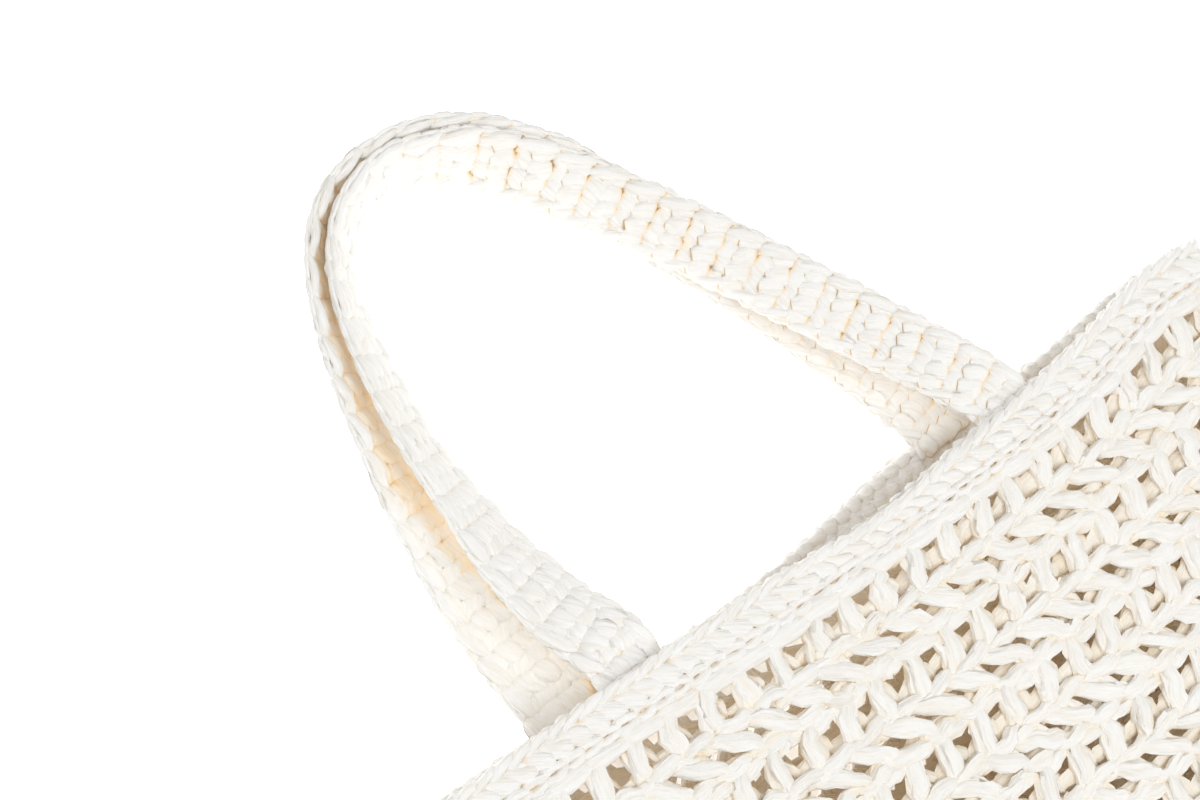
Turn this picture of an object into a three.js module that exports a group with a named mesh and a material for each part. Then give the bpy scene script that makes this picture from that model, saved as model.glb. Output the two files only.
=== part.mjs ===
// Crocheted raffia tote bag, lying flat on its back with both handles laid out past the rim.
// Millimetres, +Z up. +X runs along the rim and +Y from the base towards the handles.
import * as THREE from "three";

// Body
const bagWidth = 420; // across the rim, over both side folds
const bagHeight = 300; // rim edge to the outside of the base
const bagDepth = 36; // thickness as it lies, over both walls
const netWall = 6; // thickness of the crocheted net
const seamGap = 0.3; // clearance between two sewn pieces
const cornerStart = 170; // distance below the rim where the lower corners start to round
const cornerInset = 26; // how far the corners have drawn in at the base
const frontSag = 5; // how far the middle of the upper wall sinks

// Net
const wallCells = 10; // cells across one wall
const foldCells = 2; // cells round one side fold
const netRows = 5; // rows of gaps from rim to base
const cellSegments = 3; // straight segments along the top of a cell
const gapLean = 0.34; // sideways slant of a gap, which changes side from row to row
const gapCorner = { across: 0.33, down: 0.22 }; // corners of a gap from its middle, in cells
const gapEnd = { across: 0.16, down: 0.36 }; // ends of a gap from its middle, in cells
const netTurn = 0.25; // turn of the net round the bag, so that the gaps of the two walls don't line up

// Rim and base
const rimHeight = 27;
const rimWall = 6;
const baseThickness = 6;

// Handles
const strapWidth = 26;
const strapThickness = 4.6;
const strapLap = 24; // length sewn behind the rim at each end
const ribPitch = 13.6; // two crocheted rows make one cross rib
const ribDepth = 0.5; // groove between two ribs, on each face
const strapEdge = { flat: 11, half: 1.3 }; // half width of the flat face, half height of the edge
const stepsPerRow = 40; // fine steps between two rows of a strap's path

// Finish
const rimColour = 0xf4efe3;
const bodyColour = 0xf1ebde;
const strapColour = 0xf6f2e8;
const raffiaRoughness = 0.75;

// Height of the rim edge along the bag: it dips in the middle and lifts at the right side fold.
const rimLine = [
  { x: -210, front: 0, back: 0 },
  { x: -120, front: -1, back: -3 },
  { x: -20, front: -6, back: -7 },
  { x: 85, front: -8, back: 1 },
  { x: 135, front: -4, back: -2.5 },
  { x: 180, front: 2.5, back: 0 },
  { x: 210, front: 0, back: 0 },
];

// Outer relief of the rim from its edge down: chain, dense row, second chain, header row.
const rimRelief = [
  { drop: 0, inset: 2 },
  { drop: 1.5, inset: 0 },
  { drop: 4, inset: 0 },
  { drop: 5.5, inset: 1.3 },
  { drop: 8.5, inset: 0.3 },
  { drop: 11.7, inset: 1.3 },
  { drop: 14.5, inset: 0 },
  { drop: 17.3, inset: 1.2 },
  { drop: 22, inset: 0.4 },
  { drop: rimHeight, inset: 1.2 },
  { drop: rimHeight, inset: rimWall },
  { drop: 0, inset: rimWall },
];

// Middle of each strap from its left end to its right end: place, height and lean of its width
// above the ground. The outer edge of the loop stands up, so a leaning strap shows its inner face.
const frontLapZ = bagDepth - rimWall - seamGap - strapThickness / 2;
const backLapZ = rimWall + seamGap + strapThickness / 2;
const frontHandlePath = [
  { x: -77, y: -strapLap, z: frontLapZ, lean: 0 },
  { x: -77, y: 2, z: frontLapZ, lean: 0 },
  { x: -84, y: 27, z: 23, lean: 16 },
  { x: -91, y: 60, z: 19, lean: 32 },
  { x: -93, y: 96, z: 16.5, lean: 45 },
  { x: -90, y: 128, z: 15, lean: 49 },
  { x: -82, y: 162, z: 14, lean: 57 },
  { x: -66, y: 183.5, z: 13.5, lean: 63 },
  { x: -45, y: 190.3, z: 13.5, lean: 62 },
  { x: -23, y: 183.5, z: 13.8, lean: 54 },
  { x: -3, y: 168, z: 14.5, lean: 42 },
  { x: 16, y: 143, z: 15.5, lean: 32 },
  { x: 39, y: 108, z: 16, lean: 25 },
  { x: 59, y: 74, z: 17.5, lean: 19 },
  { x: 78, y: 39, z: 20.5, lean: 12 },
  { x: 93, y: 9, z: 26, lean: 4 },
  { x: 98, y: -4, z: frontLapZ, lean: 0 },
  { x: 100, y: -strapLap, z: frontLapZ, lean: 0 },
];
const backHandlePath = [
  { x: -105, y: -strapLap, z: backLapZ, lean: 0 },
  { x: -105, y: 2, z: backLapZ, lean: 0 },
  { x: -107, y: 27, z: 8, lean: 10 },
  { x: -107.5, y: 56, z: 8.8, lean: 25 },
  { x: -106.5, y: 86, z: 10.5, lean: 35 },
  { x: -103, y: 118, z: 12.3, lean: 45 },
  { x: -96, y: 152, z: 13.3, lean: 52 },
  { x: -80, y: 183, z: 13.5, lean: 60 },
  { x: -60, y: 195, z: 13.5, lean: 62 },
  { x: -45, y: 197, z: 13.3, lean: 62 },
  { x: -30, y: 194.5, z: 13, lean: 59 },
  { x: -11, y: 185.5, z: 12, lean: 53 },
  { x: 8, y: 166, z: 9.5, lean: 40 },
  { x: 24, y: 139, z: 6.5, lean: 22 },
  { x: 39, y: 112, z: 4.2, lean: 8 },
  { x: 54, y: 80, z: 3.2, lean: 0 },
  { x: 67, y: 48, z: 3.2, lean: 0 },
  { x: 77, y: 18, z: 6, lean: 0 },
  { x: 81, y: 0, z: backLapZ, lean: 0 },
  { x: 82, y: -strapLap, z: backLapZ, lean: 0 },
];

const columns = 2 * (wallCells + foldCells);
const loopSteps = columns * cellSegments;
const netTop = rimHeight + seamGap;
const netBottom = bagHeight - baseThickness - seamGap;

// Smooth curve through the rows of a table, with no overshoot between them.
function slopeAt(places, values, i) {
  if (i === 0 || i === places.length - 1) return 0;
  const before = (values[i] - values[i - 1]) / (places[i] - places[i - 1]);
  const after = (values[i + 1] - values[i]) / (places[i + 1] - places[i]);
  return before * after <= 0 ? 0 : (2 * before * after) / (before + after);
}

function smooth(places, values, at) {
  const last = places.length - 1;
  const place = Math.min(Math.max(at, places[0]), places[last]);
  let i = 0;
  while (i < last - 1 && place > places[i + 1]) i += 1;
  const span = places[i + 1] - places[i];
  const t = (place - places[i]) / span;
  const rise = values[i + 1] - values[i];
  const a = slopeAt(places, values, i) * span - rise;
  const b = rise - slopeAt(places, values, i + 1) * span;
  return values[i] + t * rise + t * (1 - t) * ((1 - t) * a + t * b);
}

function column(rows, name) {
  return rows.map((row) => row[name]);
}

// Body surface: turn counts cells round the bag, drop is the distance below the rim edge and
// inset the depth below the outer surface.
function halfWidthAt(drop) {
  const t = Math.max(0, (drop - cornerStart) / (bagHeight - cornerStart));
  return bagWidth / 2 - cornerInset * t * t;
}

function sectionPoint(turn, halfWidth, inset) {
  const radius = bagDepth / 2;
  const reach = radius - inset;
  const straight = halfWidth - radius;
  const along = ((turn % columns) + columns) % columns;
  const halfTurn = wallCells + foldCells;
  const side = along < halfTurn ? 1 : -1;
  const step = along < halfTurn ? along : along - halfTurn;
  if (step <= wallCells) {
    const x = side * straight * ((2 * step) / wallCells - 1);
    return { x, z: radius + side * reach };
  }
  const angle = (Math.PI * (step - wallCells)) / foldCells;
  return {
    x: side * (straight + reach * Math.sin(angle)),
    z: radius + side * reach * Math.cos(angle),
  };
}

function rimRise(x, z) {
  const places = column(rimLine, "x");
  const front = smooth(places, column(rimLine, "front"), x);
  const back = smooth(places, column(rimLine, "back"), x);
  return THREE.MathUtils.lerp(back, front, z / bagDepth);
}

function sagAt(x, z, drop) {
  const below = Math.max(0, drop - rimHeight) / (bagHeight - rimHeight);
  const across = 1 - (x / (bagWidth / 2)) ** 2;
  return frontSag * Math.max(0, across) * Math.sin(Math.PI * below) * (z / bagDepth);
}

function wallPoint(turn, drop, inset) {
  const { x, z } = sectionPoint(turn, halfWidthAt(drop), inset);
  const y = rimRise(x, z) * (1 - drop / bagHeight) - drop;
  return new THREE.Vector3(x, y, z - sagAt(x, z, drop));
}

function pieceOf(name, geometry, color) {
  const material = new THREE.MeshStandardMaterial({ color, roughness: raffiaRoughness, metalness: 0 });
  const mesh = new THREE.Mesh(geometry, material);
  mesh.name = name;
  return mesh;
}

function solidOf(points, triangles) {
  const geometry = new THREE.BufferGeometry();
  const flat = points.flatMap((point) => point.toArray());
  geometry.setAttribute("position", new THREE.Float32BufferAttribute(flat, 3));
  geometry.setIndex(triangles.flat());
  geometry.computeVertexNormals();
  return geometry;
}

function quad(triangles, a, b, c, d) {
  triangles.push([a, b, c], [a, c, d]);
}

// Net: a tube of cells, each with one slanted gap right through the wall.
function gapOutline(row) {
  const slant = row % 2 === 0 ? gapLean : -gapLean;
  const corners = [
    [-gapCorner.across, -gapCorner.down],
    [-gapEnd.across, -gapEnd.down],
    [gapEnd.across, -gapEnd.down],
    [gapCorner.across, -gapCorner.down],
    [gapCorner.across, gapCorner.down],
    [gapEnd.across, gapEnd.down],
    [-gapEnd.across, gapEnd.down],
    [-gapCorner.across, gapCorner.down],
  ];
  return corners.map(([across, down]) => [across + slant * down, down]);
}

function netBody() {
  const points = [];
  const triangles = [];
  const rowHeight = (netBottom - netTop) / netRows;
  const addPoint = (turn, drop, inset) => points.push(wallPoint(turn, drop, inset)) - 1;
  const grid = [0, netWall].map((inset) =>
    Array.from({ length: netRows + 1 }, (_, row) =>
      Array.from({ length: loopSteps }, (_, step) =>
        addPoint(netTurn + step / cellSegments, netTop + row * rowHeight, inset),
      ),
    ),
  );
  const cellBorder = (lines, row, cell) => {
    const steps = Array.from({ length: cellSegments + 1 }, (_, i) => (cell * cellSegments + i) % loopSteps);
    const upper = steps.map((step) => lines[row][step]);
    const lower = steps.map((step) => lines[row + 1][step]);
    return [...upper, ...lower.reverse()];
  };
  for (let row = 0; row < netRows; row += 1) {
    for (let cell = 0; cell < columns; cell += 1) {
      const middle = netTop + (row + 0.5) * rowHeight;
      const gap = [0, netWall].map((inset) =>
        gapOutline(row).map(([across, down]) =>
          addPoint(netTurn + cell + 0.5 + across, middle + down * rowHeight, inset),
        ),
      );
      const outer = cellBorder(grid[0], row, cell);
      const inner = cellBorder(grid[1], row, cell);
      outer.forEach((_, i) => {
        const next = (i + 1) % outer.length;
        quad(triangles, outer[i], gap[0][i], gap[0][next], outer[next]);
        quad(triangles, inner[next], gap[1][next], gap[1][i], inner[i]);
        quad(triangles, gap[0][i], gap[1][i], gap[1][next], gap[0][next]);
      });
    }
  }
  const [outerTop, innerTop] = grid.map((lines) => lines[0]);
  const [outerEnd, innerEnd] = grid.map((lines) => lines[netRows]);
  for (let step = 0; step < loopSteps; step += 1) {
    const next = (step + 1) % loopSteps;
    quad(triangles, outerTop[step], outerTop[next], innerTop[next], innerTop[step]);
    quad(triangles, innerEnd[step], innerEnd[next], outerEnd[next], outerEnd[step]);
  }
  return pieceOf("net_body", solidOf(points, triangles), bodyColour);
}

// Rim: the relief section carried all the way round the mouth.
function rimBand() {
  const points = [];
  const triangles = [];
  rimRelief.forEach(({ drop, inset }) => {
    for (let step = 0; step < loopSteps; step += 1) {
      points.push(wallPoint(step / cellSegments, drop, inset));
    }
  });
  rimRelief.forEach((_, line) => {
    const start = line * loopSteps;
    const below = ((line + 1) % rimRelief.length) * loopSteps;
    for (let step = 0; step < loopSteps; step += 1) {
      const next = (step + 1) % loopSteps;
      quad(triangles, start + step, below + step, below + next, start + next);
    }
  });
  return pieceOf("rim_band", solidOf(points, triangles), rimColour);
}

// Base: the dense oval panel that closes the lower end.
function basePanel() {
  const halfWidth = halfWidthAt(bagHeight);
  const radius = bagDepth / 2;
  const outline = new THREE.Shape();
  outline.absarc(halfWidth - radius, radius, radius, -Math.PI / 2, Math.PI / 2);
  outline.absarc(radius - halfWidth, radius, radius, Math.PI / 2, (3 * Math.PI) / 2);
  const geometry = new THREE.ExtrudeGeometry(outline, {
    depth: baseThickness,
    bevelEnabled: false,
    curveSegments: cellSegments * foldCells,
  });
  const panel = pieceOf("base_panel", geometry, bodyColour);
  panel.rotation.x = Math.PI / 2;
  panel.position.y = baseThickness - bagHeight;
  return panel;
}

// Handle: a ribbed strap carried along its path and turned to the lean of each place.
function pathPoints(path, count) {
  const rows = path.map((_, i) => i);
  return Array.from({ length: count + 1 }, (_, i) => {
    const at = ((path.length - 1) * i) / count;
    const read = (name) => smooth(rows, column(path, name), at);
    return { middle: new THREE.Vector3(read("x"), read("y"), read("z")), lean: read("lean") };
  });
}

function evenStations(path, spacing) {
  const fine = pathPoints(path, stepsPerRow * path.length);
  const lengths = [0];
  for (let i = 1; i < fine.length; i += 1) {
    lengths.push(lengths[i - 1] + fine[i].middle.distanceTo(fine[i - 1].middle));
  }
  const total = lengths[lengths.length - 1];
  const count = 2 * Math.round(total / (2 * spacing));
  let i = 0;
  return Array.from({ length: count + 1 }, (_, station) => {
    const wanted = (total * station) / count;
    while (i < fine.length - 2 && lengths[i + 1] < wanted) i += 1;
    const t = (wanted - lengths[i]) / (lengths[i + 1] - lengths[i]);
    return {
      middle: fine[i].middle.clone().lerp(fine[i + 1].middle, t),
      along: fine[i + 1].middle.clone().sub(fine[i].middle).normalize(),
      lean: THREE.MathUtils.degToRad(THREE.MathUtils.lerp(fine[i].lean, fine[i + 1].lean, t)),
    };
  });
}

function strapSection({ middle, along, lean }, groove) {
  const up = new THREE.Vector3(0, 0, 1);
  const outward = new THREE.Vector3(-along.y, along.x, 0).normalize();
  const across = outward.multiplyScalar(Math.cos(lean)).addScaledVector(up, Math.sin(lean));
  across.addScaledVector(along, -across.dot(along)).normalize();
  const face = new THREE.Vector3().crossVectors(along, across);
  const half = strapThickness / 2 - groove;
  const outline = [
    [-strapWidth / 2, -strapEdge.half],
    [-strapEdge.flat, -half],
    [strapEdge.flat, -half],
    [strapWidth / 2, -strapEdge.half],
    [strapWidth / 2, strapEdge.half],
    [strapEdge.flat, half],
    [-strapEdge.flat, half],
    [-strapWidth / 2, strapEdge.half],
  ];
  return outline.map(([side, rise]) =>
    middle.clone().addScaledVector(across, side).addScaledVector(face, rise),
  );
}

function handle(name, path) {
  const stations = evenStations(path, ribPitch / 2);
  const sections = stations.map((station, i) => strapSection(station, i % 2 === 0 ? ribDepth : 0));
  const sides = sections[0].length;
  const points = sections.flat();
  const triangles = [];
  for (let i = 0; i < sections.length - 1; i += 1) {
    for (let side = 0; side < sides; side += 1) {
      const next = (side + 1) % sides;
      const here = i * sides;
      const ahead = here + sides;
      quad(triangles, here + side, here + next, ahead + next, ahead + side);
    }
  }
  const lastSection = points.length - sides;
  for (let side = 1; side < sides - 1; side += 1) {
    triangles.push([0, side + 1, side], [lastSection, lastSection + side, lastSection + side + 1]);
  }
  return pieceOf(name, solidOf(points, triangles), strapColour);
}

const toteBag = new THREE.Group();
toteBag.name = "raffia_tote_bag";
toteBag.add(
  basePanel(),
  netBody(),
  rimBand(),
  handle("front_handle", frontHandlePath),
  handle("back_handle", backHandlePath),
);

// The origin is the middle of the bag's footprint on the surface it lies on.
const box = new THREE.Box3().setFromObject(toteBag);
const middle = box.getCenter(new THREE.Vector3());
toteBag.position.set(-middle.x, -middle.y, -box.min.z);

export default toteBag;
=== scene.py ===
import math

import bpy
import numpy as np
from mathutils import Matrix, Vector


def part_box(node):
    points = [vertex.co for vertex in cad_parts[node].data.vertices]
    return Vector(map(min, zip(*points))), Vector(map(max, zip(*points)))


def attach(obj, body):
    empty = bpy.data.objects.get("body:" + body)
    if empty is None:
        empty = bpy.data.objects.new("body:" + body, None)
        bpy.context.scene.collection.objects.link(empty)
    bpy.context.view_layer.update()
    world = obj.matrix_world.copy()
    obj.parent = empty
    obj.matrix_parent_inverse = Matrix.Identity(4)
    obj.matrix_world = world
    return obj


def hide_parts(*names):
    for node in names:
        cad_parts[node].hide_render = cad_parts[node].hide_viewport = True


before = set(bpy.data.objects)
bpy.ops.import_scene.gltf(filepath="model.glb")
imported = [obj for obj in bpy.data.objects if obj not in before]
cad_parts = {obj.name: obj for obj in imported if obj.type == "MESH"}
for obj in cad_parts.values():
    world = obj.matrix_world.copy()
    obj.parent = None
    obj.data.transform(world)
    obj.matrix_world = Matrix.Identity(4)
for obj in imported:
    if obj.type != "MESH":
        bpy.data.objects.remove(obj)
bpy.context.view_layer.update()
dice = np.random.default_rng(11)

bag = {
    "width": 420.0,  # across the rim, over both side folds
    "height": 300.0,  # rim edge to the outside of the base
    "depth": 36.0,  # over both walls as it lies
    "wall": 6.0,
    "cornerStart": 170.0,
    "cornerInset": 26.0,
    "sag": 5.0,
    "rimHeight": 27.0,
}
rimLine = {  # height of the rim edge along the bag
    "x": [-210, -120, -20, 85, 135, 180, 210],
    "front": [0, -1, -6, -8, -4, 2.5, 0],
    "back": [0, -3, -7, 1, -2.5, 0, 0],
}
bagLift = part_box("base_panel")[0].y * 1000 + bag["height"]  # the rim edge in the part's own frame
wallRun = bag["width"] - bag["depth"]
foldRun = math.pi * bag["depth"] / 2
loopRun = 2 * (wallRun + foldRun)


# Camera at the photograph's angle
eye = {
    "place": (-0.4279, 0.1275, 1.0085),
    "right": (0.7595, -0.5736, 0.3069),
    "up": (0.5318, 0.8192, 0.2149),
    "back": (-0.3746, 0.0, 0.9272),
    "lens": 90.0,
    "sensor": 36.0,
    "nearest": 0.01,
}


def setCamera():
    data = bpy.data.cameras.new("studioCamera")
    data.lens = eye["lens"]
    data.sensor_width = eye["sensor"]
    data.sensor_fit = "HORIZONTAL"
    data.clip_start = eye["nearest"]
    camera = bpy.data.objects.new("studioCamera", data)
    bpy.context.scene.collection.objects.link(camera)
    turn = Matrix((eye["right"], eye["up"], eye["back"])).transposed().to_4x4()
    camera.matrix_world = Matrix.Translation(Vector(eye["place"])) @ turn
    bpy.context.scene.camera = camera


setCamera()
print("camera set")


# Smooth curve through a table, with no overshoot between its rows
def smoothTable(places, values, at):
    places = np.asarray(places, float)
    values = np.asarray(values, float)
    secant = np.diff(values) / np.diff(places)
    before = secant[:-1]
    after = secant[1:]
    same = before * after > 0
    total = np.where(same, before + after, 1.0)
    slope = np.zeros(len(places))
    slope[1:-1] = np.where(same, 2 * before * after / total, 0.0)
    place = np.clip(at, places[0], places[-1])
    i = np.clip(np.searchsorted(places, place) - 1, 0, len(places) - 2)
    span = places[i + 1] - places[i]
    t = (place - places[i]) / span
    rise = values[i + 1] - values[i]
    a = slope[i] * span - rise
    b = rise - slope[i + 1] * span
    return values[i] + t * rise + t * (1 - t) * ((1 - t) * a + t * b)


def ramp(value, low, high):
    t = np.clip((value - low) / (high - low), 0, 1)
    return t * t * (3 - 2 * t)


# Body surface: run goes round the bag, drop down from the rim edge, inset in from the outside
def wallPoint(run, drop, inset):
    radius = bag["depth"] / 2
    t = np.maximum(0, (drop - bag["cornerStart"]) / (bag["height"] - bag["cornerStart"]))
    straight = wallRun / 2 - bag["cornerInset"] * t * t
    reach = radius - inset
    along = np.mod(run, loopRun)
    side = np.where(along < loopRun / 2, 1.0, -1.0)
    step = np.mod(along, loopRun / 2)
    flat = step <= wallRun
    angle = math.pi * np.maximum(0, step - wallRun) / foldRun
    x = side * np.where(flat, straight * (2 * step / wallRun - 1), straight + reach * np.sin(angle))
    z = radius + side * reach * np.where(flat, 1.0, np.cos(angle))
    front = smoothTable(rimLine["x"], rimLine["front"], x)
    back = smoothTable(rimLine["x"], rimLine["back"], x)
    rise = back + (front - back) * z / bag["depth"]
    y = rise * (1 - drop / bag["height"]) - drop
    below = np.clip((drop - bag["rimHeight"]) / (bag["height"] - bag["rimHeight"]), 0, 1)
    across = np.maximum(0, 1 - (2 * x / bag["width"]) ** 2)
    sag = bag["sag"] * across * np.sin(math.pi * below) * z / bag["depth"]
    return np.stack([x, y + bagLift, z - sag], -1)


def wallStrand(run, drop, height):
    inset = bag["wall"] / 2 - height
    centre = wallPoint(run, drop, inset)
    outward = wallPoint(run, drop, inset - 1.0) - centre
    return centre, outward


# Yarn: a strand is drawn from a few knots, each with a place, a half width and a half thickness.
# Painted shade follows a strand's height: low paper is painted warm and dark, as shade in the hollows,
# and high paper is left pale.
strand = {
    "sizeSpread": 0.1,  # share by which widths and thicknesses vary
    "sizeRange": (0.8, 1.25),
    "ringEase": 1.35,  # over 1, the rings lie closer at the ends
    "thinnest": 0.4,
    "creases": 3,
    "creaseDrift": 0.13,  # turn of a crease for each millimetre along
    "creaseDepth": (0.4, 1.0),
    "creaseWidth": 0.36,
    "creaseShade": 4.5,  # how far a crease goes into the painted shade
    "crumple": 0.22,
    "leanSpread": 0.5,
    "grainShift": 400,
    "lowest": 0.05,  # what meets the ground lies flat on it
}


def curveWeights(knots, places):
    weights = np.zeros((len(places), knots))
    for row, t in enumerate(places):
        i = min(int(t), knots - 2)
        f = t - i
        parts = (
            -0.5 * f + f * f - 0.5 * f ** 3,
            1 - 2.5 * f * f + 1.5 * f ** 3,
            0.5 * f + 2 * f * f - 1.5 * f ** 3,
            -0.5 * f * f + 0.5 * f ** 3,
        )
        for shift, part in zip((-1, 0, 1, 2), parts):
            weights[row, min(max(i + shift, 0), knots - 1)] += part
    return weights


def unit(vectors):
    return vectors / np.maximum(np.linalg.norm(vectors, axis=-1, keepdims=True), 1e-9)


def drawStrands(knots, starts, rings, spread, blunt=5, least=(0.35, 0.35)):
    # knots: a, b, height, half width, half thickness; starts: a and b of each copy
    knots = np.asarray(knots, float)
    copies = len(starts)
    points = np.repeat(knots[None], copies, 0)
    points[:, :, :3] += dice.normal(0, 1, (copies, len(knots), 3)) * np.asarray(spread)
    sizes = dice.normal(1, strand["sizeSpread"], (copies, len(knots), 2))
    points[:, :, 3:] *= np.clip(sizes, *strand["sizeRange"])
    points[:, :, :2] += np.asarray(starts, float)[:, None, :]
    even = np.linspace(-1, 1, rings)
    u = np.sign(even) * (1 - (1 - np.abs(even)) ** strand["ringEase"])
    weights = curveWeights(len(knots), (u + 1) / 2 * (len(knots) - 1))
    drawn = np.einsum("mp,npc->nmc", weights, points)
    taper = np.sqrt(1 - np.abs(u) ** blunt)[:, None]
    taper = np.maximum(taper, least)  # least share of width and thickness at the ends
    drawn[:, :, 3:] = np.maximum(drawn[:, :, 3:], strand["thinnest"]) * taper
    return drawn


def yarn(centres, outward, wide, thick, height, sides, square=2.3, fold=0.46, twist=0.0, relief=1.0):
    return {
        "centres": centres,
        "outward": outward,
        "wide": wide,
        "thick": thick,
        "height": height,
        "sides": sides,
        "square": square,  # 2 is an oval section, more is boxier
        "fold": fold,  # depth of the creases along the strand
        "twist": twist,  # turn of the ribbon about its own length
        "relief": relief,  # share of the section's own height in the painted shade of the hollows
    }


def boxy(value, square):  # a sine or cosine, for a rounder or squarer section
    return np.sign(value) * np.abs(value) ** (2 / square)


def sweepYarn(family):
    centres = family["centres"]
    copies, rings, _ = centres.shape
    sides = family["sides"]
    along = unit(np.gradient(centres, axis=1))
    across = unit(np.cross(along, family["outward"]))
    up = np.cross(across, along)
    length = np.linalg.norm(np.diff(centres, axis=1), axis=-1)
    length = np.concatenate([np.zeros((copies, 1)), np.cumsum(length, 1)], 1)
    angle = 2 * math.pi * np.arange(sides) / sides
    folds = np.zeros((copies, rings, sides))
    for _ in range(strand["creases"]):
        start = dice.uniform(0, 2 * math.pi, (copies, 1, 1))
        drift = dice.normal(0, strand["creaseDrift"], (copies, 1, 1))
        away = np.mod(angle - start - drift * length[:, :, None] + math.pi, 2 * math.pi) - math.pi
        depth = dice.uniform(*strand["creaseDepth"], (copies, 1, 1))
        folds += depth * np.exp(-(away / strand["creaseWidth"]) ** 2)
    folds = np.minimum(folds, 1.0)
    crumple = dice.normal(0, strand["crumple"] * family["fold"], (copies, rings, sides))
    shrink = 1 - family["fold"] * folds + crumple
    flatSide = family["wide"][:, :, None] * boxy(np.cos(angle), family["square"]) * shrink
    flatRise = family["thick"][:, :, None] * boxy(np.sin(angle), family["square"]) * shrink
    turn = dice.normal(0, strand["leanSpread"], (copies, 1))
    turn = turn + dice.normal(0, 1, (copies, 1)) * np.linspace(-1, 1, rings)
    turn = family["twist"] * turn[:, :, None]
    side = flatSide * np.cos(turn) - flatRise * np.sin(turn)
    rise = flatSide * np.sin(turn) + flatRise * np.cos(turn)
    points = centres[:, :, None] + across[:, :, None] * side[..., None]
    points = points + up[:, :, None] * rise[..., None]
    grain = np.empty((copies, rings, sides, 3))
    grain[..., 0] = length[:, :, None]
    grain[..., 1] = side
    grain[..., 2] = rise
    grain += dice.uniform(0, strand["grainShift"], (copies, 1, 1, 3))
    relief = rise - strand["creaseShade"] * family["fold"] * folds
    height = family["height"]
    if height.ndim == 2:
        height = height[:, :, None]
    height = height + relief * family["relief"]
    index = np.arange(copies * rings * sides).reshape(copies, rings, sides)
    turned = np.roll(index, -1, 2)
    quads = np.stack([index[:, :-1], index[:, 1:], turned[:, 1:], turned[:, :-1]], -1)
    caps = np.stack([index[:, 0], index[:, -1, ::-1]], 1)
    return points, grain, height, quads, caps


# Each strand has a box of its own in the bake's map, with its two ends beside its length
bakeMap = {
    "shape": 1.6,  # boxes side by side for each one above another
    "length": (0.14, 0.86),
    "girth": (0.06, 0.94),
    "endSize": (0.05, 0.3),
    "nearEnd": (0.07, 0.5),
    "farEnd": (0.93, 0.5),
}


def bakeBoxes(copies, rings, sides, slot, slots):
    columns = math.ceil(math.sqrt(slots * bakeMap["shape"]))
    lines = math.ceil(slots / columns)
    number = slot + np.arange(copies)
    corner = np.stack([number % columns, number // columns], -1)
    u = np.linspace(*bakeMap["length"], rings)
    v = np.linspace(*bakeMap["girth"], sides + 1)
    boxU = np.stack([u[:-1], u[1:], u[1:], u[:-1]], -1)[:, None, :] + np.zeros((1, sides, 1))
    boxV = np.stack([v[:-1], v[:-1], v[1:], v[1:]], -1)[None, :, :] + np.zeros((rings - 1, 1, 1))
    quadMap = np.stack([boxU, boxV], -1)[None] + corner[:, None, None, None, :]
    angle = 2 * math.pi * np.arange(sides) / sides
    disc = np.stack([np.cos(angle), np.sin(angle)], -1) * bakeMap["endSize"]
    ends = np.stack([disc + bakeMap["nearEnd"], disc[::-1] + bakeMap["farEnd"]])
    capMap = ends[None] + corner[:, None, None, :]
    size = np.array([columns, lines], float)
    return quadMap / size, capMap / size


def makePiece(name, families, material, node, shadeHeights, crease=180):
    slots = sum(len(family["centres"]) for family in families)
    verts, grains, heights, loops, totals, maps = [], [], [], [], [], []
    slot = 0
    firstVert = 0
    for family in families:
        points, grain, height, quads, caps = sweepYarn(family)
        copies, rings, sides = height.shape
        verts.append(points.reshape(-1, 3))
        grains.append(grain.reshape(-1, 3))
        heights.append(height.reshape(-1))
        loops += [quads.reshape(-1) + firstVert, caps.reshape(-1) + firstVert]
        totals += [np.full(quads.size // 4, 4), np.full(caps.size // sides, sides)]
        maps += [part.reshape(-1, 2) for part in bakeBoxes(copies, rings, sides, slot, slots)]
        slot += copies
        firstVert += len(verts[-1])
    verts = np.concatenate(verts)
    verts[:, 2] = np.maximum(verts[:, 2], strand["lowest"])
    loops = np.concatenate(loops)
    totals = np.concatenate(totals)
    mesh = bpy.data.meshes.new(name)
    mesh.vertices.add(len(verts))
    mesh.vertices.foreach_set("co", (verts / 1000).astype(np.float32).ravel())
    mesh.loops.add(len(loops))
    mesh.loops.foreach_set("vertex_index", loops.astype(np.int32))
    mesh.polygons.add(len(totals))
    mesh.polygons.foreach_set("loop_start", (np.cumsum(totals) - totals).astype(np.int32))
    mesh.polygons.foreach_set("loop_total", totals.astype(np.int32))
    mesh.polygons.foreach_set("use_smooth", np.ones(len(totals), bool))
    mesh.update(calc_edges=True)
    mesh.set_sharp_from_angle(angle=math.radians(crease))  # folded ribbon keeps its creases
    maps = np.concatenate(maps).astype(np.float32)
    mesh.uv_layers.new(name="OFBake").uv.foreach_set("vector", maps.ravel())
    grains = np.concatenate(grains).astype(np.float32)
    mesh.attributes.new("grain", "FLOAT_VECTOR", "POINT").data.foreach_set("vector", grains.ravel())
    # Painted shade: lit is 0 at the low height and 1 at the high one, and the finish darkens and warms
    # the paper where it is low
    low, high = shadeHeights
    lit = np.clip((np.concatenate(heights) - low) / (high - low), 0, 1)
    mesh.attributes.new("lit", "FLOAT", "POINT").data.foreach_set("value", lit.astype(np.float32))
    mesh.materials.append(material)
    piece = bpy.data.objects.new(name, mesh)
    bpy.context.scene.collection.objects.link(piece)
    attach(piece, "root")
    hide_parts(node)
    triangles = int((totals - 2).sum())
    print(f"{name}: {slots} strands, {triangles} triangles")
    return triangles
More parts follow.
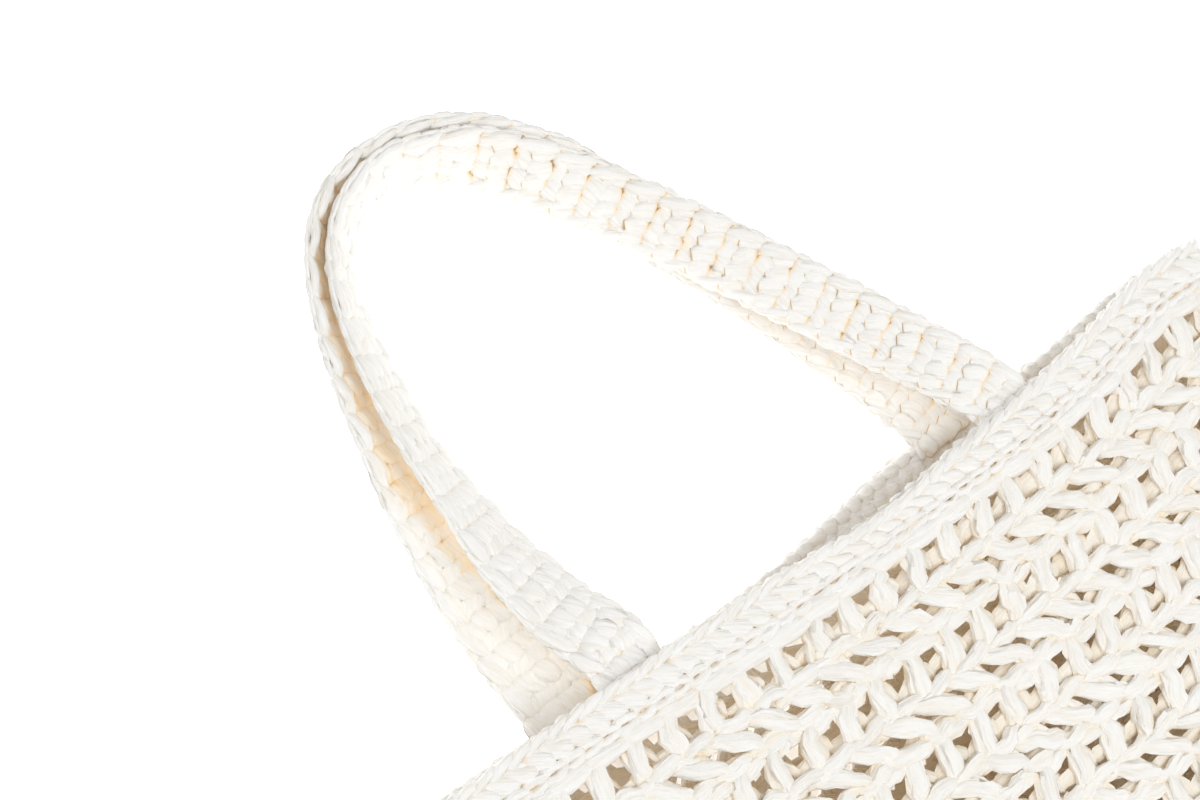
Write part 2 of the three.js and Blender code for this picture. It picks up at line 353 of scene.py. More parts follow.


# Raffia finish: pale paper with straw coloured fibres, and painted shade that makes it warmer and
# darker in the hollows
raffia = {
    "straw": (0.885, 0.835, 0.745),
    "gloss": 0.35,
    "sheen": 0.08,
    "sheenRough": 0.5,
    "stretch": (0.05, 0.75, 0.75),  # fibres run along the strand
    "fibreDetail": 3.0,
    "fibreRough": 0.65,
    "patchScale": 45.0,
    "patchDetail": 2.0,
    "streakFrom": (0.45, 0.68),
    "streak": 0.8,
    "blotchFrom": (0.45, 0.75),
    "blotch": 0.3,
    "glowAt": 0.4,  # the painted shade goes from deep to a painted warm glow up to here, then to pale
    "roughLow": 0.52,
    "roughHigh": 0.78,
    "bump": 0.7,
    "bumpDepth": 0.0012,
}
finishes = {  # pale paper, painted deep shade in a hollow, painted warm glow in a shallower hollow, strength of the painted shade
    "netRaffia": ((0.94, 0.925, 0.89), (0.85, 0.72, 0.54), (0.93, 0.83, 0.66), 0.9),
    "denseRaffia": ((0.94, 0.928, 0.902), (0.6, 0.42, 0.23), (0.88, 0.7, 0.44), 0.9),
    "strapRaffia": ((0.945, 0.935, 0.912), (0.52, 0.36, 0.2), (1.0, 0.75, 0.42), 1.0),
}


def link(tree, start, end):
    tree.links.new(start, end)


def addNode(tree, kind, **values):
    node = tree.nodes.new(kind)
    for name, value in values.items():
        setattr(node, name, value)
    return node


def setInputs(node, values):
    for name, value in values.items():
        node.inputs[name].default_value = value


def mapRange(tree, source, low=0.0, high=1.0, start=0.0, end=1.0, kind="LINEAR"):
    node = addNode(tree, "ShaderNodeMapRange", interpolation_type=kind)
    setInputs(node, {"From Min": low, "From Max": high, "To Min": start, "To Max": end})
    link(tree, source, node.inputs["Value"])
    return node.outputs["Result"]


def mixColour(tree, share, first, second):
    node = addNode(tree, "ShaderNodeMix", data_type="RGBA")
    link(tree, share, node.inputs["Factor"])
    for name, colour in (("A", first), ("B", second)):
        if isinstance(colour, tuple):
            node.inputs[name].default_value = (*colour, 1)
        else:
            link(tree, colour, node.inputs[name])
    return node.outputs["Result"]


def raffiaFinish(name, pale, paintedShadeColour, paintedGlow, paintedShadeStrength):
    material = bpy.data.materials.new(name)
    material.use_nodes = True
    tree = material.node_tree
    shader = tree.nodes["Principled BSDF"]
    shader.inputs["Specular IOR Level"].default_value = raffia["gloss"]
    shader.inputs["Sheen Weight"].default_value = raffia["sheen"]
    shader.inputs["Sheen Roughness"].default_value = raffia["sheenRough"]
    grain = addNode(tree, "ShaderNodeAttribute", attribute_name="grain")
    stretch = addNode(tree, "ShaderNodeVectorMath", operation="MULTIPLY")
    stretch.inputs[1].default_value = raffia["stretch"]
    link(tree, grain.outputs["Vector"], stretch.inputs[0])
    fibre = addNode(tree, "ShaderNodeTexNoise")
    setInputs(fibre, {"Scale": 1.0, "Detail": raffia["fibreDetail"], "Roughness": raffia["fibreRough"]})
    link(tree, stretch.outputs["Vector"], fibre.inputs["Vector"])
    where = addNode(tree, "ShaderNodeTexCoord")
    patch = addNode(tree, "ShaderNodeTexNoise")
    setInputs(patch, {"Scale": raffia["patchScale"], "Detail": raffia["patchDetail"]})
    link(tree, where.outputs["Object"], patch.inputs["Vector"])
    streak = mapRange(tree, fibre.outputs["Fac"], *raffia["streakFrom"], 0.0, raffia["streak"])
    blotch = mapRange(tree, patch.outputs["Fac"], *raffia["blotchFrom"], 0.0, raffia["blotch"])
    both = addNode(tree, "ShaderNodeMath", operation="MAXIMUM")
    link(tree, streak, both.inputs[0])
    link(tree, blotch, both.inputs[1])
    body = mixColour(tree, both.outputs["Value"], pale, raffia["straw"])
    # Painted shade: where lit is low the paper is mixed towards the painted deep shade and warm glow
    lit = addNode(tree, "ShaderNodeAttribute", attribute_name="lit").outputs["Fac"]
    paintedShadeShare = mapRange(tree, lit, 0.0, 1.0, paintedShadeStrength, 0.0, "SMOOTHSTEP")
    shade = mapRange(tree, lit, 0.0, raffia["glowAt"])
    inner = mixColour(tree, shade, paintedShadeColour, paintedGlow)
    link(tree, mixColour(tree, paintedShadeShare, body, inner), shader.inputs["Base Color"])
    rough = mapRange(tree, fibre.outputs["Fac"], 0.0, 1.0, raffia["roughLow"], raffia["roughHigh"])
    link(tree, rough, shader.inputs["Roughness"])
    bump = addNode(tree, "ShaderNodeBump")
    setInputs(bump, {"Strength": raffia["bump"], "Distance": raffia["bumpDepth"]})
    link(tree, fibre.outputs["Fac"], bump.inputs["Height"])
    link(tree, bump.outputs["Normal"], shader.inputs["Normal"])
    return material


netFinish, denseFinish, strapFinish = [raffiaFinish(name, *tones) for name, tones in finishes.items()]
print("finishes made")


# Net: two kinds of row in turn, one with square holes and one with leaning leaf shaped posts.
# A knot is cells along, rows down, height, half width, half thickness, from the middle of a hole.
net = {
    "cells": 55,
    "rows": 17,
    "firstRow": 28.0,  # middle of the first holes below the rim edge
    "rowHeight": 16.0,
    "lowest": 5.0,  # the strands end this far above the bag's lower end
    "phase": 0.3,
    "rowShift": (0.0, 0.14),  # sideways shift of an odd and an even row, in cells
    "pairShift": 0.55,  # sideways shift from one pair of rows to the next
    "spread": (0.048, 0.048, 0.32),
    "fold": 0.38,
    "twist": 0.36,
    "shadeHeights": (-1.6, 2.9),
    "crease": 36,  # degrees
    "backLift": 1.3,  # the back wall's inside is lifted out of the painted shade, so it shows pale through the holes
    "backWide": 1.3,  # and closer, so that little ground shows
    "backRelief": 0.3,
    "backSides": 5,
    "innerFrom": (-110, 80),  # from left to right, more paper behind the front's holes
    "innerWide": (0.5, 0.68),  # share of its width at the left, and what the right adds
    "innerRaise": 1.6,
    # the paper behind the front's holes is lifted out of the painted shade, and less of its section's
    # height goes into it
    "innerLift": 1.6,
    "innerRelief": 0.4,
}
netPieces = {  # first and last cell round the bag
    "net_front_left": (0, 9),
    "net_front_middle": (9, 18),
    "net_front_right": (18, 27),
    "net_back": (27, net["cells"]),
}
netOdd = {
    "post": (11, 12, [
        (0.68, -0.7, 0.2, 1.5, 1.0),
        (0.62, -0.44, 1.7, 3.0, 1.6),
        (0.53, -0.14, 2.0, 3.6, 1.9),
        (0.46, 0.14, 1.6, 4.0, 1.9),
        (0.43, 0.38, 0.7, 4.2, 1.6),
        (0.4, 0.6, -1.0, 3.0, 1.0),
    ]),
    "postSide": (9, 8, [
        (0.5, -0.64, -0.6, 1.2, 1.0),
        (0.4, -0.36, 0.8, 2.0, 1.4),
        (0.33, -0.08, 1.0, 2.3, 1.5),
        (0.29, 0.2, 0.7, 2.5, 1.5),
        (0.14, 0.5, -0.7, 1.6, 1.1),
    ]),
    "band": (10, 12, [
        (0.2, 0.66, -1.2, 1.2, 0.9),
        (0.5, 0.5, 1.3, 2.7, 1.6),
        (0.84, 0.43, 1.9, 3.1, 1.9),
        (1.16, 0.45, 1.3, 2.7, 1.6),
        (1.46, 0.55, -1.2, 1.2, 0.9),
    ]),
    "cordUnder": (8, 8, [
        (-0.2, 0.68, -1.2, 1.3, 1.0),
        (0.1, 0.58, 0.6, 2.8, 1.7),
        (0.45, 0.6, 0.9, 3.0, 1.7),
        (0.82, 0.7, -1.1, 1.4, 1.0),
    ]),
    "postFill": (6, 6, [
        (0.64, -0.6, -0.7, 2.0, 1.1),
        (0.5, -0.26, -0.4, 3.6, 1.4),
        (0.45, 0.05, -0.4, 3.6, 1.4),
        (0.5, 0.45, -0.7, 2.0, 1.1),
    ]),
    "bandFill": (6, 6, [
        (-0.15, 0.53, -0.6, 2.2, 1.1),
        (0.2, 0.52, -0.2, 3.5, 1.4),
        (0.6, 0.54, -0.2, 3.5, 1.4),
        (0.95, 0.55, -0.6, 2.2, 1.1),
    ]),
    "innerBand": (7, 6, [
        (-0.24, 0.32, -2.2, 2.4, 1.2),
        (0.06, 0.24, -1.4, 3.7, 1.5),
        (0.4, 0.18, -1.4, 3.8, 1.5),
        (0.66, 0.06, -2.2, 2.4, 1.2),
    ]),
    "innerSide": (7, 6, [
        (0.62, -0.38, -2.2, 1.6, 1.1),
        (0.73, -0.12, -1.6, 2.7, 1.5),
        (0.81, 0.12, -1.4, 3.0, 1.6),
        (0.87, 0.4, -2.0, 1.8, 1.2),
    ]),
}
netEven = {
    "leaf": (11, 12, [
        (-0.32, -0.5, -1.2, 1.0, 0.9),
        (-0.02, -0.36, 1.0, 2.8, 1.7),
        (0.32, -0.17, 1.9, 3.6, 2.2),
        (0.62, 0.02, 1.8, 3.7, 2.2),
        (0.85, 0.21, 1.0, 2.9, 1.8),
        (0.97, 0.5, -1.2, 1.4, 1.0),
    ]),
    "leafSide": (8, 8, [
        (0.44, -0.54, -0.8, 1.6, 1.1),
        (0.58, -0.22, 0.3, 2.5, 1.6),
        (0.67, 0.08, 0.3, 2.6, 1.6),
        (0.6, 0.46, -0.8, 1.7, 1.1),
    ]),
    "cord": (9, 10, [
        (0.56, 0.17, -1.0, 1.4, 1.0),
        (0.82, 0.34, 1.0, 3.1, 1.8),
        (1.12, 0.37, 1.5, 3.5, 2.1),
        (1.44, 0.31, 1.1, 3.1, 1.7),
        (1.74, 0.36, -1.2, 1.3, 0.9),
    ]),
    "cordUnder": (8, 8, [
        (-0.04, 0.66, -1.0, 1.4, 1.0),
        (0.26, 0.54, 0.9, 3.0, 1.8),
        (0.58, 0.51, 1.1, 3.2, 1.8),
        (0.96, 0.6, -1.0, 1.4, 1.0),
    ]),
    "bandFill": (6, 6, [
        (-0.1, 0.42, -0.6, 2.2, 1.1),
        (0.25, 0.42, -0.2, 3.3, 1.4),
        (0.6, 0.4, -0.2, 3.3, 1.4),
        (0.98, 0.42, -0.6, 2.2, 1.1),
    ]),
    "innerBand": (7, 6, [
        (-0.3, 0.3, -2.2, 2.2, 1.2),
        (0.02, 0.28, -1.6, 3.2, 1.5),
        (0.38, 0.24, -1.6, 3.3, 1.5),
        (0.66, 0.16, -2.2, 2.2, 1.2),
    ]),
}


def netFamilies(firstCell, lastCell, fine):
    families = []
    pitch = loopRun / net["cells"]
    for kind, shapes in enumerate((netOdd, netEven)):
        starts = []
        for row in range(kind, net["rows"], 2):
            shift = net["rowShift"][kind] + net["pairShift"] * (row // 2) + net["phase"]
            for cell in range(firstCell, lastCell):
                starts.append((cell + shift % 1, row))
        for name, (rings, sides, knots) in shapes.items():
            if not fine:
                rings = max(4, rings // 2)
                sides = net["backSides"]
            drawn = drawStrands(knots, starts, rings, net["spread"])
            run = drawn[..., 0] * pitch
            drop = net["firstRow"] + drawn[..., 1] * net["rowHeight"]
            drop = np.minimum(drop, bag["height"] - net["lowest"])
            centres, outward = wallStrand(run, drop, drawn[..., 2])
            height = drawn[..., 2]
            relief = 1.0
            if not fine:
                drawn[..., 3] *= net["backWide"]
                height = height + net["backLift"]
                relief = net["backRelief"]
            elif name.startswith("inner"):
                narrow, more = net["innerWide"]
                right = ramp(centres[..., 0], *net["innerFrom"])
                drawn[..., 3] *= narrow + more * right
                centres, outward = wallStrand(run, drop - net["innerRaise"] * right, drawn[..., 2])
                height = height + net["innerLift"]
                relief = net["innerRelief"]
            families.append(yarn(centres, outward, drawn[..., 3], drawn[..., 4], height, sides,
                                 fold=net["fold"], twist=net["twist"], relief=relief))
    return families


def makeNet():
    made = 0
    for name, (firstCell, lastCell) in netPieces.items():
        families = netFamilies(firstCell, lastCell, name.startswith("net_front"))
        made += makePiece(name, families, netFinish, "net_body",
                          net["shadeHeights"], net["crease"])
    return made


# Rim: edge chain, dense row, second chain and header row, with a bumpy inside.
# A knot is run and drop in millimetres, height, half width, half thickness.
rim = {
    "stitches": 112,
    "spread": (0.25, 0.18, 0.12),
    "shadeHeights": (1.1, 2.9),
    "fold": 0.2,
    "blunt": 8,
    "least": (0.5, 0.5),
    "square": 2.6,
    "tuck": 4.5,  # the front edge is drawn down this far between the handles
    "tuckFrom": (167, 214),  # run over which that grows
    "tuckEnd": 287,
    "tuckFade": 70,
    "tuckReach": 13,  # nothing moves from this drop down
    "rowDrop": 8,  # the dense row, pressed narrower by the tuck
    "rowHalf": 3.8,
    "coreSteps": 180,
}
rimStitches = {
    "edgeFront": (8, 8, [
        (-2.6, 4.4, 1.0, 1.1, 1.0),
        (1.2, 3.0, 2.2, 1.8, 1.6),
        (4.8, 1.9, 2.5, 1.9, 1.7),
        (8.4, 1.4, 1.8, 1.7, 1.5),
        (11.0, 1.4, 0.6, 1.1, 1.0),
    ]),
    "edgeBack": (7, 8, [
        (-2.4, 2.6, -0.5, 0.8, 0.8),
        (1.2, 2.0, -1.1, 1.2, 1.1),
        (4.8, 1.6, -1.3, 1.3, 1.2),
        (8.4, 1.4, -0.9, 1.2, 1.1),
        (11.0, 1.5, -0.3, 0.8, 0.8),
    ]),
    "denseRow": (9, 10, [
        (-6.0, 4.4, 0.4, 2.0, 1.2),
        (-2.4, 6.4, 1.5, 3.2, 1.6),
        (1.4, 8.6, 2.1, 3.8, 1.7),
        (4.2, 10.4, 2.1, 3.6, 1.7),
        (5.6, 11.2, 1.3, 3.0, 1.4),
    ]),
    "denseUnder": (7, 8, [
        (-5.5, 6.9, 0.6, 3.2, 1.2),
        (-2.0, 6.7, 1.1, 4.4, 1.5),
        (2.0, 6.5, 1.1, 4.4, 1.5),
        (5.5, 6.3, 0.6, 3.2, 1.2),
    ]),
    "chainUpper": (9, 8, [
        (-3.6, 14.0, 0.7, 1.2, 1.1),
        (-0.8, 12.7, 1.7, 1.8, 1.6),
        (2.8, 12.4, 2.2, 1.8, 1.7),
        (6.4, 13.4, 2.0, 1.7, 1.6),
        (8.4, 14.0, 1.2, 1.2, 1.1),
    ]),
    "chainLower": (9, 8, [
        (-3.6, 14.4, 0.7, 1.2, 1.1),
        (-0.8, 15.8, 1.7, 1.8, 1.6),
        (2.8, 16.1, 2.2, 1.7, 1.7),
        (6.4, 15.1, 2.0, 1.7, 1.6),
        (8.4, 14.4, 1.2, 1.2, 1.1),
    ]),
}
rimLift = {  # keeps these out of the painted shade in the hollows
    "edgeFront": 3.5,
    "edgeBack": 8.0,
    "denseRow": 0.5,
    "denseUnder": 2.2,
}
rimHeader = {
    "headerLump": (11, 10, [
        (-12.0, 19.4, 0.6, 2.0, 1.4),
        (-7.5, 19.2, 1.3, 3.2, 2.0),
        (-1.5, 19.5, 1.8, 3.7, 2.3),
        (4.0, 19.7, 1.7, 3.6, 2.3),
        (8.8, 19.8, 1.1, 2.9, 1.8),
        (12.0, 20.4, 0.4, 1.9, 1.3),
    ]),
    "headerUnder": (8, 8, [
        (-9.0, 21.0, 0.2, 1.8, 1.3),
        (-3.0, 20.2, 0.6, 2.6, 1.6),
        (4.0, 20.2, 0.6, 2.6, 1.6),
        (10.0, 21.2, 0.2, 1.8, 1.3),
    ]),
}
rimInside = {
    "rows": (2.6, 8.0, 13.4, 18.8),
    "pitch": 6.6,
    "rings": 6,
    "sides": 7,
    "square": 2.3,
    # lifts the inside's stitches out of the painted shade
    "lift": 3.3,
    "knots": [
        (-3.4, 0.9, -0.7, 1.9, 1.0),
        (-1.4, 0.3, -2.3, 3.0, 1.9),
        (1.4, -0.3, -2.3, 3.0, 1.9),
        (3.4, -0.9, -0.7, 1.9, 1.0),
    ],
}
rimCores = (  # drop, height, half width, half thickness and painted shade height of the paper between the stitches
    (13.5, 0.0, 8.5, 1.8, 0.8),
    (12.6, -1.2, 9.0, 1.0, 9.0),
)
coreYarn = {"sides": 10, "square": 3.0, "fold": 0.0}  # flat paper inside the rim and the straps


def rimFamilies():
    families = []

    def lay(knots, starts, rings, sides, square=rim["square"], lift=0.0, flip=1):
        drawn = drawStrands(knots, starts, rings, rim["spread"], rim["blunt"], rim["least"])
        run = drawn[..., 0]
        drop = drawn[..., 1]
        tuck = rim["tuck"] * ramp(run, *rim["tuckFrom"])
        tuck = tuck * ramp(rim["tuckEnd"] - run, 0, rim["tuckFade"])
        inRow = np.abs(drop - rim["rowDrop"]) < rim["rowHalf"]
        drawn[..., 3] *= np.where(inRow, 1 - tuck / rim["tuckReach"], 1.0)
        drop = drop + tuck * np.maximum(0, 1 - drop / rim["tuckReach"])
        centres, outward = wallStrand(run, drop, drawn[..., 2])
        height = drawn[..., 2] * flip + lift
        families.append(yarn(centres, outward * flip, drawn[..., 3], drawn[..., 4], height, sides,
                             square, rim["fold"]))

    pitch = loopRun / rim["stitches"]
    stitchStarts = [(i * pitch, 0.0) for i in range(rim["stitches"])]
    for name, (rings, sides, knots) in rimStitches.items():
        lay(knots, stitchStarts, rings, sides, lift=rimLift.get(name, 0.0))
    cell = loopRun / net["cells"]
    cellStarts = [((i + net["phase"]) * cell, 0.0) for i in range(net["cells"])]
    for rings, sides, knots in rimHeader.values():
        lay(knots, cellStarts, rings, sides)
    count = round(loopRun / rimInside["pitch"])
    insideStarts = []
    for line, drop in enumerate(rimInside["rows"]):
        insideStarts += [((i + 0.5 * (line % 2)) * loopRun / count, drop) for i in range(count)]
    lay(rimInside["knots"], insideStarts, rimInside["rings"], rimInside["sides"],
        rimInside["square"], rimInside["lift"], -1)
    run = np.linspace(0, loopRun, rim["coreSteps"])[None]
    zero = np.zeros_like(run)
    for drop, height, wide, thick, shadeHeight in rimCores:
        centres, outward = wallStrand(run, zero + drop, zero + height)
        families.append(yarn(centres, outward, zero + wide, zero + thick, zero + shadeHeight, **coreYarn))
    return families


def makeRim():
    families = rimFamilies()
    return makePiece("rim_stitches", families, denseFinish, "rim_band", rim["shadeHeights"])


# Handles: each path row is x, y, height and lean of the strap's width above the ground
strap = {
    "thickness": 4.6,
    "lapGap": 0.3,  # between a sewn end and the wall
    "ribPitch": 13.6,
    "columns": 4,
    "columnsWide": 22.0,
    "firstColumn": -8.6,
    "edgeThin": 0.4,  # share of the thickness lost at the edges
    "edgeFrom": (5.5, 11.5),
    "underHeight": 0.75,  # the underside stands out less
    "underSides": 6,
    "flareEnd": 115.0,  # the first foot is pulled a little wider, up to here
    "flareFade": 70,
    "fold": 0.28,
    "relief": 0.3,
    "spread": (0.13, 0.28, 0.2),
    "blunt": 9,
    "stitchLook": (2.4, (0.82, 0.75)),  # boxiness, least width and thickness at the ends
    "underLook": (2.6, (0.9, 0.6)),
    "loopLook": (2.3, (0.35, 0.35)),
    "shadeHeights": (-0.2, 1.4),
    "shade": 0.4,  # height at which the painted shade is warm and light
    "groove": 2.3,  # how far the stitch ends go into the painted shade, as dark lines between the ribs
    "grooveRings": ((0, 1.0), (-2, 0.26), (-1, 1.6)),  # ring, and its share of that
    "grooveLeft": 0.13,  # share of that on the left half
    "grooveFrom": (-50, 10),
    "within": 12.4,  # the stitches stay this far from the middle, and the edge loops go past it
    "loopsWithin": 20.0,
    "leastWide": 0.8,
    "core": (9.8, 1.1),  # half width, half thickness
    "coreEnd": 0.5,
    "coreShade": 0.4,
    "coreShadeStretch": (-70, 0),  # the painted shade goes deeper over this stretch
    "tableSteps": 40,
    "trackPoints": 600,
}
frontLap = bag["depth"] - bag["wall"] - strap["lapGap"] - strap["thickness"] / 2
backLap = bag["wall"] + strap["lapGap"] + strap["thickness"] / 2
frontPath = [
    (-79.5, -24, frontLap, 0), (-80, 2, frontLap, 0), (-87, 27, 23, 10), (-92, 60, 19, 28),
    (-93, 96, 16.5, 45), (-90, 128, 15, 49), (-82, 162, 14, 57), (-66, 183.5, 13.5, 63),
    (-45, 190.3, 13.5, 62), (-23, 183.5, 13.8, 54), (-3, 168, 14.5, 42), (16, 143, 15.5, 32),
    (39, 108, 16, 25), (59, 74, 17.5, 19), (78, 39, 20.5, 12), (93, 9, 26, 4),
    (98, -4, frontLap, 0), (100, -24, frontLap, 0),
]
backPath = [
    (-102.5, -24, backLap, 0), (-102.5, 2, backLap, 0), (-103.4, 27, 7.4, 0), (-104.4, 56, 7.6, 6),
    (-104, 86, 9.0, 22), (-101.2, 118, 11.6, 40), (-94.4, 151.4, 13.3, 52), (-79, 181.7, 13.5, 60),
    (-59.7, 193.4, 13.5, 62), (-45, 195.3, 13.3, 62), (-30.4, 192.9, 13, 59), (-11.8, 184.2, 12, 53),
    (7.2, 165.4, 9.5, 40), (24, 139, 6.5, 22), (39, 112, 4.2, 8), (54, 80, 3.2, 0),
    (67, 48, 3.2, 0), (77, 18, 6, 0), (81, 0, backLap, 0), (81.3, -7, backLap, 0),
]


def strapTrack(path):
    path = np.asarray(path, float)
    rows = np.arange(len(path))
    at = np.linspace(0, len(path) - 1, strap["tableSteps"] * len(path))
    fine = np.stack([smoothTable(rows, path[:, i], at) for i in range(4)], -1)
    fine[:, 1] += bagLift
    middle = fine[:, :3]
    length = np.concatenate([[0], np.cumsum(np.linalg.norm(np.diff(middle, axis=0), axis=-1))])
    even = np.linspace(0, length[-1], strap["trackPoints"])
    middle = np.stack([np.interp(even, length, middle[:, i]) for i in range(3)], -1)
    lean = np.radians(np.interp(even, length, fine[:, 3]))[:, None]
    along = unit(np.gradient(middle, axis=0))
    outward = unit(np.stack([-along[:, 1], along[:, 0], np.zeros(len(along))], -1))
    across = outward * np.cos(lean) + np.array([0, 0, 1]) * np.sin(lean)
    across = unit(across - along * (across * along).sum(-1, keepdims=True))
    face = np.cross(along, across)
    return even, np.concatenate([middle, across, face], -1)


def strapStrand(track, along, side, height):
    even, table = track
    found = np.stack([np.interp(along, even, table[:, i]) for i in range(9)], -1)
    middle, across, face = found[..., :3], found[..., 3:6], found[..., 6:]
    return middle + across * side[..., None] + face * height[..., None], face


# A knot is millimetres along the strap, across it, height, half width, half thickness
strapStitches = {
    "legNear": (8, 10, [
        (1.8, -2.2, 0.3, 3.0, 1.3),
        (-1.2, -1.1, 0.9, 4.1, 1.45),
        (-4.2, 0.1, 1.4, 4.7, 1.45),
        (-7.08, 0.9, 0.42, 4.5, 1.28),
    ]),
    "legFar": (8, 10, [
        (-1.6, -1.7, 1.6, 2.5, 1.2),
        (1.2, -0.2, 1.9, 3.7, 1.4),
        (4.2, 1.1, 1.6, 4.5, 1.45),
        (7.08, 2.0, 0.42, 4.5, 1.28),
    ]),
}
strapEdges = {
    "turningLoop": (10, 8, [
        (-12.6, -12.0, 0.4, 0.9, 0.9),
        (-9.8, -11.7, 2.0, 1.7, 1.5),
        (-6.4, -10.8, 2.7, 2.0, 1.7),
        (-2.8, -9.6, 2.6, 1.7, 1.5),
        (-0.2, -8.5, 1.4, 0.9, 0.9),
    ]),
    "edgeLoop": (10, 8, [
        (-7.6, 8.0, 0.6, 1.2, 1.1),
        (-4.2, 9.2, 2.3, 2.5, 1.9),
        (0.4, 10.1, 2.9, 3.0, 2.2),
        (4.6, 10.8, 2.3, 2.5, 1.9),
        (8.0, 11.3, 0.6, 1.2, 1.1),
    ]),
}
strapRims = {  # two of each to a rib
    "turningMid": (7, 6, [
        (-5.2, -11.6, 0.6, 0.7, 0.7),
        (-1.8, -11.8, 0.4, 1.7, 1.5),
        (1.8, -11.8, -0.1, 1.7, 1.5),
        (5.2, -11.6, -0.7, 0.7, 0.7),
    ]),
    "turningBack": (7, 6, [
        (-5.2, -11.0, -0.4, 0.8, 0.7),
        (-1.8, -11.7, -0.9, 1.4, 1.1),
        (1.8, -11.7, -1.1, 1.4, 1.1),
        (5.2, -10.9, -0.8, 0.8, 0.7),
    ]),
    "edgeMid": (7, 6, [
        (-5.2, 11.6, 0.6, 0.7, 0.7),
        (-1.8, 11.8, 0.4, 1.7, 1.5),
        (1.8, 11.8, -0.1, 1.7, 1.5),
        (5.2, 11.6, -0.7, 0.7, 0.7),
    ]),
    "edgeBack": (7, 6, [
        (-5.2, 11.0, -0.4, 0.8, 0.7),
        (-1.8, 11.7, -0.9, 1.4, 1.1),
        (1.8, 11.7, -1.1, 1.4, 1.1),
        (5.2, 10.9, -0.8, 0.8, 0.7),
    ]),
}


# Lift out of the painted shade in the hollows, and share of warm painted shade where the front strap
# lies over the back one.
# A table gives y above the rim edge, and how far across the back strap the painted shade goes there.
strapLight = {
    "left": 0.6,
    "leftFrom": (10, 50),
    "right": 0.4,
    "rightFrom": (15, 45),
    "edge": 6.0,
    "under": ((0, 5, 45, 75, 110, 150), (-9.5, -9.5, -3.5, 4.5, 9, 10)),
    "underFade": (-0.8, 1.2),
    "underFrom": (5, 45),
    "beside": ((-8, 6, 21, 40, 60, 85, 125), (12, 6.2, 2, -2, -6, -10, -14)),
    "besideFade": (-1.0, 1.4),
    "foot": 0.5,  # painted shade deeper towards the left foot
    "footTop": 60,
    "footFade": 30,
}


def leftLift(x):
    return strapLight["left"] * ramp(-x, *strapLight["leftFrom"])


def frontFace(place, side):
    return leftLift(place[..., 0]), 0.0


def backFace(place, side):
    x = place[..., 0]
    y = place[..., 1] - bagLift
    under = smoothTable(*strapLight["under"], y)
    left = ramp(under - side, *strapLight["underFade"]) * ramp(-x, *strapLight["underFrom"])
    beside = smoothTable(*strapLight["beside"], y)
    right = ramp(side - beside, *strapLight["besideFade"]) * ramp(x, *strapLight["rightFrom"])
    shade = np.maximum(left, right)
    lift = leftLift(x) + strapLight["right"] * ramp(x, *strapLight["rightFrom"])
    foot = ramp(strapLight["footTop"] - y, 0, strapLight["footFade"])
    return lift * (1 - shade) - strapLight["foot"] * left * foot, shade


def edgeLight(place, side):
    return strapLight["edge"], 0.0


